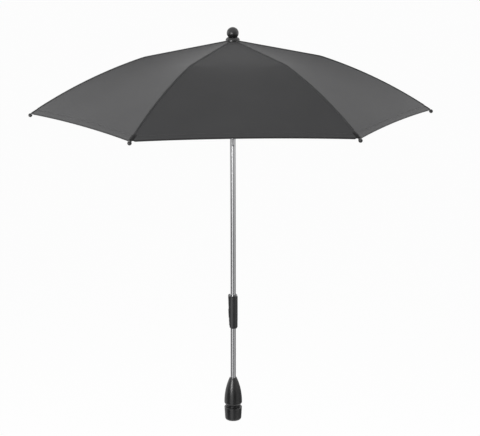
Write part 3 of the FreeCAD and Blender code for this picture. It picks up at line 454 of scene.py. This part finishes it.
def thin_shell(name, top, under, pitch):
    """Closed mesh between two grids of points; pitch is the cloth's length per column and per row."""
    work = bmesh.new()
    layer = work.loops.layers.uv.new("cloth")
    places = {}
    upper, lower = [[[work.verts.new(spot) for spot in row] for row in grid] for grid in (top, under)]
    for grid in (upper, lower):
        for k, row in enumerate(grid):
            for j, vertex in enumerate(row):
                places[vertex] = (j * pitch[0] * MM, k * pitch[1] * MM)
    last_row, last_column = len(top) - 1, len(top[0]) - 1
    for k in range(last_row):
        for j in range(last_column):
            for grid in (upper, lower):
                work.faces.new((grid[k][j], grid[k + 1][j], grid[k + 1][j + 1], grid[k][j + 1]))
        for j in (0, last_column):
            work.faces.new((upper[k][j], upper[k + 1][j], lower[k + 1][j], lower[k][j]))
    for j in range(last_column):
        for k in (0, last_row):
            work.faces.new((upper[k][j], upper[k][j + 1], lower[k][j + 1], lower[k][j]))
    for face in work.faces:
        for corner in face.loops:
            corner[layer].uv = places[corner.vert]
    bmesh.ops.recalc_face_normals(work, faces=work.faces)
    mesh = bpy.data.meshes.new(name)
    work.to_mesh(mesh)
    work.free()
    return mesh


def seam_and_stitches(index):
    """Felled seam over the rib with two rows of stitches, and the hem's stitches of this section."""
    azimuth = index * STEP
    seam_length = CORNER_R - HEM_FOLD - SEAM_GAP - SEAM_START
    seam_rows = [SEAM_START + seam_length * k / SEAM_STEPS for k in range(SEAM_STEPS + 1)]

    def raised(side, radius, lateral, rise):
        across = min(SEAM_ACROSS, lateral / (radius * math.cos(HALF)))
        return surface(azimuth, side, radius, across) + normal_at(azimuth, side, radius, across) * rise

    top, under = [], []
    for radius in seam_rows:
        top.append([raised(side, radius, lateral, rise) for side, lateral, rise in SEAM_PROFILE])
        under.append([raised(side, radius, lateral, -UNDER) for side, lateral, _ in SEAM_PROFILE])
    mesh = thin_shell(f"canopy_seam_{index + 1}", top, under, SEAM_PITCH)
    seam = finish_mesh(mesh.name, mesh, f"rib_{index + 1}", seam_fabric)

    work = bmesh.new()
    for side in (-1, 1):
        radius = SEAM_STITCH_FROM
        while radius < CORNER_R - HEM_FOLD - SEAM_STITCH_GAP:
            points = []
            for part in STITCH_PARTS:
                rise = SEAM_RISE + SEAM_STITCH_BOW * math.sin(math.pi * part)
                points.append(raised(side, radius + STITCH_LENGTH * part, SEAM_LINE, rise))
            tube_of(work, points, THREAD_R)
            radius += STITCH_PITCH
    mesh = bpy.data.meshes.new(f"seam_stitches_{index + 1}")
    work.to_mesh(mesh)
    work.free()
    stitches = finish_mesh(mesh.name, mesh, f"rib_{index + 1}", thread_black)

    work = bmesh.new()
    for side in (-1, 1):
        lateral = HEM_STITCH_FROM
        while lateral < CORNER_R / 2.0 - HEM_STITCH_GAP:
            points = []
            for part in STITCH_PARTS:
                across = (lateral + STITCH_LENGTH * part) / CORNER_R
                radius = hem_radius(across) - HEM_FOLD + HEM_STITCH_IN
                rise = HEM_STITCH_RISE + HEM_STITCH_BOW * math.sin(math.pi * part)
                points.append(surface(azimuth, side, radius, across)
                              + normal_at(azimuth, side, radius, across) * rise)
            tube_of(work, points, THREAD_R)
            lateral += STITCH_PITCH
    mesh = bpy.data.meshes.new(f"hem_stitches_{index + 1}")
    work.to_mesh(mesh)
    work.free()
    tangent = (-math.sin(azimuth), math.cos(azimuth), 0.0)
    hem = finish_mesh(mesh.name, mesh, f"rib_{index + 1}", thread_black, tangent)
    return [seam, stitches, hem]


def corner_pocket(index):
    """Short doubled strip over the rib's end, which keeps the corner on the ball."""
    azimuth = index * STEP
    top, under = [], []
    for radius, rise, fall in POCKET_ROWS:
        top.append([])
        under.append([])
        for lateral in POCKET_LATERALS:
            side = 1 if lateral >= 0.0 else -1
            across = abs(lateral) / (radius * math.cos(HALF))
            lift = rise * (POCKET_EDGE_SHARE if abs(lateral) > POCKET_EDGE else 1.0)
            normal = normal_at(azimuth, side, radius, across)
            spot = surface(azimuth, side, radius, across) - Vector((0.0, 0.0, fall))
            top[-1].append(spot + normal * lift)
            under[-1].append(spot - normal * UNDER)
    mesh = thin_shell(f"corner_pocket_{index + 1}", top, under, POCKET_PITCH)
    return finish_mesh(mesh.name, mesh, f"rib_{index + 1}", pocket_fabric)


def crown_lining(index):
    """Second layer under the crown, so that no slit opens there."""
    azimuth = index * STEP
    steps = [0.5 * k / LINING_PARTS for k in range(LINING_PARTS + 1)]
    places = [(-1, step) for step in reversed(steps[1:])] + [(1, step) for step in steps]
    work = bmesh.new()
    layer = work.loops.layers.uv.new("cloth")
    spots = {}
    columns = []
    for side, across in places:
        loop = [(row, LINING_TOP) for row in LINING_ROWS]
        loop += [(row, LINING_BASE) for row in reversed(LINING_ROWS)]
        column = []
        for radius, depth in loop:
            spot = surface(azimuth, side, radius, across) - normal_at(azimuth, side, radius, across) * depth
            vertex = work.verts.new(spot)
            spots[vertex] = (side * across * radius * MM, radius * MM)
            column.append(vertex)
        columns.append(column)
    count = len(columns[0])
    for left, right in zip(columns, columns[1:]):
        for k in range(count):
            follow = (k + 1) % count
            work.faces.new((left[k], left[follow], right[follow], right[k]))
    for column in (columns[0], columns[-1]):
        for k in range(count // 2 - 1):
            work.faces.new((column[k], column[k + 1], column[count - k - 2], column[count - k - 1]))
    for face in work.faces:
        for corner in face.loops:
            corner[layer].uv = spots[corner.vert]
    bmesh.ops.recalc_face_normals(work, faces=work.faces)
    mesh = bpy.data.meshes.new(f"crown_lining_{index + 1}")
    work.to_mesh(mesh)
    work.free()
    tangent = (-math.sin(azimuth), math.cos(azimuth), 0.0)
    return finish_mesh(mesh.name, mesh, f"rib_{index + 1}", fabric, tangent)


for index in range(RIBS):
    piece, area = canopy_section(index)
    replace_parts(piece, "canopy")
    extras = seam_and_stitches(index) + [corner_pocket(index), crown_lining(index)]


# Brake spring inside the housing. Lengths in millimetres, as in the solids.
SPRING_R, SPRING_WIRE_R, SPRING_TURNS = 2.6, 0.35, 2.5
SPRING_BASE, SPRING_RISE = 207.4, 3.2


def brake_coil(steps=60, sides=10):
    """Round wire coil of the brake spring, rising from its lower seat."""
    work = bmesh.new()
    whole = 2.0 * math.pi * SPRING_TURNS
    rings = []
    for k in range(steps + 1):
        turn = whole * k / steps
        outward = Vector((math.cos(turn), math.sin(turn), 0.0))
        ahead = Vector((-math.sin(turn) * SPRING_R, math.cos(turn) * SPRING_R, SPRING_RISE / whole))
        upward = outward.cross(ahead.normalized())
        centre = outward * SPRING_R + Vector((0.0, 0.0, SPRING_BASE + SPRING_RISE * k / steps))
        angles = [2.0 * math.pi * j / sides for j in range(sides)]
        spokes = [outward * math.cos(a) + upward * math.sin(a) for a in angles]
        rings.append([work.verts.new(centre + spoke * SPRING_WIRE_R) for spoke in spokes])
    for left, right in zip(rings, rings[1:]):
        for j in range(sides):
            work.faces.new((left[j], left[(j + 1) % sides], right[(j + 1) % sides], right[j]))
    work.faces.new(rings[0])
    work.faces.new(rings[-1])
    bmesh.ops.recalc_face_normals(work, faces=work.faces)
    mesh = bpy.data.meshes.new("brake_coil")
    work.to_mesh(mesh)
    work.free()
    piece = finish_mesh(mesh.name, mesh, "pole", steel)
    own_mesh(piece)
    return piece


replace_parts(brake_coil(), "brake_spring")


# Floor, light and camera.
def seen_as_white(tree, plain, kind, share):
    """Mixes white of strength 1 into a shader, for the camera and for what metal shows."""
    path = tree.nodes.new("ShaderNodeLightPath")
    first = tree.nodes.new("ShaderNodeMath")
    second = tree.nodes.new("ShaderNodeMath")
    scale = tree.nodes.new("ShaderNodeMath")
    first.operation = second.operation = "MAXIMUM"
    scale.operation = "MULTIPLY"
    tree.links.new(path.outputs["Is Camera Ray"], first.inputs[0])
    tree.links.new(path.outputs["Is Glossy Ray"], first.inputs[1])
    tree.links.new(first.outputs[0], second.inputs[0])
    tree.links.new(path.outputs["Is Transmission Ray"], second.inputs[1])
    tree.links.new(second.outputs[0], scale.inputs[0])
    scale.inputs[1].default_value = share
    white = tree.nodes.new(kind)
    white.inputs["Color"].default_value = (1.0, 1.0, 1.0, 1.0)
    white.inputs["Strength"].default_value = 1.0
    mix = tree.nodes.new("ShaderNodeMixShader")
    tree.links.new(scale.outputs[0], mix.inputs[0])
    tree.links.new(plain.outputs[0], mix.inputs[1])
    tree.links.new(white.outputs[0], mix.inputs[2])
    return mix


# The foot sits in a clamp on a pram, so the floor is that far below it, in metres.
FLOOR, FLOOR_REACH = -0.9, 120.0
FLOOR_GREY, FLOOR_ROUGH, FLOOR_WHITE = 0.9, 0.9, 0.96
WORLD_LIGHT = 0.42
CARD_DISTANCE, CARD_TOP, CARD_PARTS = 1.25, 1.3, 6
CARD_FADE_FROM, CARD_FADE_TO, CARD_FADE_POWER = -0.05, 0.35, 1.8
# Bearings of both edges in degrees, then the grey at the foot and at the top.
CARDS = {
    "left_card": (-84.0, -38.0, 0.03, 0.62),
    "front_right_card": (-1.0, 39.0, 0.12, 0.46),
    "right_card": (39.0, 84.0, 0.50, 0.66),
    "rear_right_card": (84.0, 165.0, 0.20, 0.60),
    "rear_left_card": (-165.0, -84.0, 0.70, 0.32),
}
SIDE_LAMP, SIDE_AIM, SIDE_SIZE = (118.0, 2.6, 1.05), (0.0, 0.0, 0.6), (1.6, 1.0)
FRONT_LAMP, FRONT_AIM, FRONT_SIZE = (-26.0, 2.0, 0.6), (0.0, 0.0, 0.1), (0.5, 0.6)
LEFT_RADIANCE, RIGHT_RADIANCE, FRONT_RADIANCE = 9.4, 9.3, 16.5
SENSOR, FOCAL_PIXELS, FRAME_PIXELS = 36.0, 1265.0, 480.0
CAMERA_TURN, CAMERA_DOWN, CAMERA_REACH = -4.0, 12.96, 200.0
CAMERA_START = (0.0125, -2.190, 0.883)

floor_mesh = bpy.data.meshes.new("floor")
floor_corners = [(-1, -1), (1, -1), (1, 1), (-1, 1)]
floor_mesh.from_pydata([(x * FLOOR_REACH, y * FLOOR_REACH, FLOOR) for x, y in floor_corners], [],
                       [(0, 1, 2, 3)])
floor = bpy.data.objects.new("floor", floor_mesh)
scene.collection.objects.link(floor)
floor_paint, floor_tree, floor_shader = new_material("pale_floor")
floor_shader.inputs["Base Color"].default_value = (FLOOR_GREY, FLOOR_GREY, FLOOR_GREY, 1.0)
floor_shader.inputs["Roughness"].default_value = FLOOR_ROUGH
floor_mix = seen_as_white(floor_tree, floor_shader, "ShaderNodeEmission", FLOOR_WHITE)
floor_tree.links.new(floor_mix.outputs[0], floor_tree.nodes["Material Output"].inputs["Surface"])
floor_mesh.materials.append(floor_paint)

world = bpy.data.worlds.new("studio")
scene.world = world
world.use_nodes = True
world_tree = world.node_tree
background = world_tree.nodes["Background"]
background.inputs["Color"].default_value = (1.0, 1.0, 1.0, 1.0)
background.inputs["Strength"].default_value = WORLD_LIGHT
world_mix = seen_as_white(world_tree, background, "ShaderNodeBackground", 1.0)
world_tree.links.new(world_mix.outputs[0], world_tree.nodes["World Output"].inputs["Surface"])


def around_pole(bearing, distance, height):
    """Point round the pole; bearing 0 is towards the camera and 90 to its right, in degrees."""
    angle = math.radians(bearing - 90.0 + CAMERA_TURN)
    return Vector((distance * math.cos(angle), distance * math.sin(angle), height))


def soft_box(name, place, aim, size, radiance):
    """Rectangular lamp that points at aim; its power follows from its size and radiance."""
    lamp = bpy.data.lights.new(name, "AREA")
    lamp.shape = "RECTANGLE"
    lamp.size, lamp.size_y = size
    lamp.energy = radiance * math.pi * size[0] * size[1]
    holder = bpy.data.objects.new(name, lamp)
    holder.location = place
    holder.rotation_euler = (Vector(aim) - Vector(place)).to_track_quat("-Z", "Y").to_euler()
    scene.collection.objects.link(holder)


def grey_card(name, start, stop, low, high):
    """Upright card that only bright metal and gloss show, grey from low at its foot to high at its top."""
    mesh = bpy.data.meshes.new(name)
    corners = []
    for k in range(CARD_PARTS + 1):
        bearing = start + (stop - start) * k / CARD_PARTS
        corners.append(around_pole(bearing, CARD_DISTANCE, FLOOR))
        corners.append(around_pole(bearing, CARD_DISTANCE, CARD_TOP))
    mesh.from_pydata(corners, [], [(2 * k, 2 * k + 2, 2 * k + 3, 2 * k + 1) for k in range(CARD_PARTS)])
    card = bpy.data.objects.new(name, mesh)
    scene.collection.objects.link(card)
    material = bpy.data.materials.new(name)
    material.use_nodes = True
    tree = material.node_tree
    place = tree.nodes.new("ShaderNodeNewGeometry")
    split = tree.nodes.new("ShaderNodeSeparateXYZ")
    wire(tree, place, "Position", split, "Vector")
    share = add(tree, "ShaderNodeMapRange", From_Min=CARD_FADE_FROM, From_Max=CARD_FADE_TO)
    wire(tree, split, "Z", share, "Value")
    late = tree.nodes.new("ShaderNodeMath")
    late.operation = "POWER"
    late.inputs[1].default_value = CARD_FADE_POWER
    wire(tree, share, "Result", late, 0)
    scale = add(tree, "ShaderNodeMapRange", To_Min=low, To_Max=high)
    wire(tree, late, 0, scale, "Value")
    glow = tree.nodes.new("ShaderNodeEmission")
    wire(tree, scale, "Result", glow, "Strength")
    tree.links.new(glow.outputs[0], tree.nodes["Material Output"].inputs["Surface"])
    mesh.materials.append(material)
    card.visible_camera = False
    card.visible_diffuse = False
    card.visible_shadow = False


for name, limits in CARDS.items():
    grey_card(name, *limits)

bearing, distance, height = SIDE_LAMP
soft_box("left_box", around_pole(-bearing, distance, height), SIDE_AIM, SIDE_SIZE, LEFT_RADIANCE)
soft_box("right_box", around_pole(bearing, distance, height), SIDE_AIM, SIDE_SIZE, RIGHT_RADIANCE)
soft_box("front_box", around_pole(*FRONT_LAMP), FRONT_AIM, FRONT_SIZE, FRONT_RADIANCE)

lens = bpy.data.cameras.new("photo_camera")
lens.sensor_fit = "HORIZONTAL"
lens.sensor_width = SENSOR
lens.lens = SENSOR * FOCAL_PIXELS / FRAME_PIXELS
camera = bpy.data.objects.new("photo_camera", lens)
spin = math.radians(CAMERA_TURN)
camera.location = Matrix.Rotation(spin, 3, "Z") @ Vector(CAMERA_START)
camera.rotation_euler = (math.radians(90.0 - CAMERA_DOWN), 0.0, spin)
lens.clip_end = CAMERA_REACH
scene.collection.objects.link(camera)
scene.camera = camera
